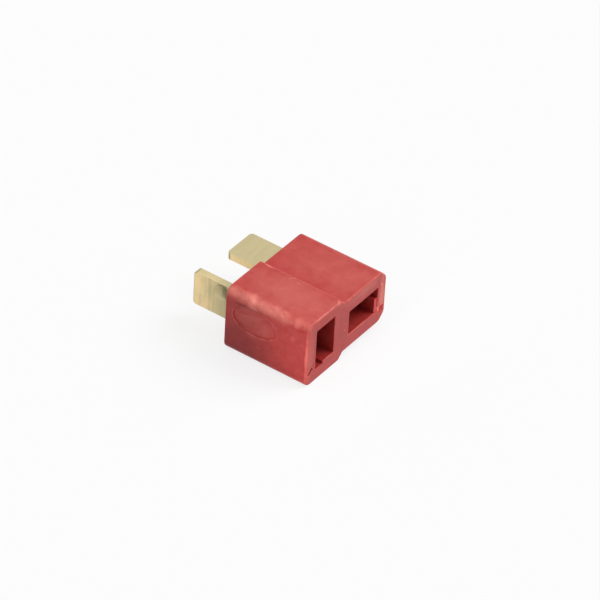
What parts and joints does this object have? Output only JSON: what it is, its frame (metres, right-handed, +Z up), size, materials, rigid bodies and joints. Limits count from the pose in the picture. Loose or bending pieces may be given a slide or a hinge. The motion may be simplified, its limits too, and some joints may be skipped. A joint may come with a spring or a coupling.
{
  "type": "t-plug connector",
  "caption": "Red moulded power connector, socket half, with an upright and a flat blade socket in a T layout and a solder tab behind each.",
  "frame": {"origin": "bottom centre of the bounding box, on the surface that the connector lies on", "axes": "-Y out of the mating face, +Y along the solder tabs, +Z up with the upright socket standing, +X towards the flat socket"},
  "size_m": [0.016, 0.0184, 0.0091],
  "materials": {
    "housing": "moulded nylon with a satin gloss, small scuffs along its edges",
    "contacts": "thin pale gold plating over brass, satin, with a duller tin-stained scoop"
  },
  "bodies": {
    "root": {"housing": "housing", "upright_contact": "contacts", "flat_contact": "contacts"}
  },
  "joints": []
}
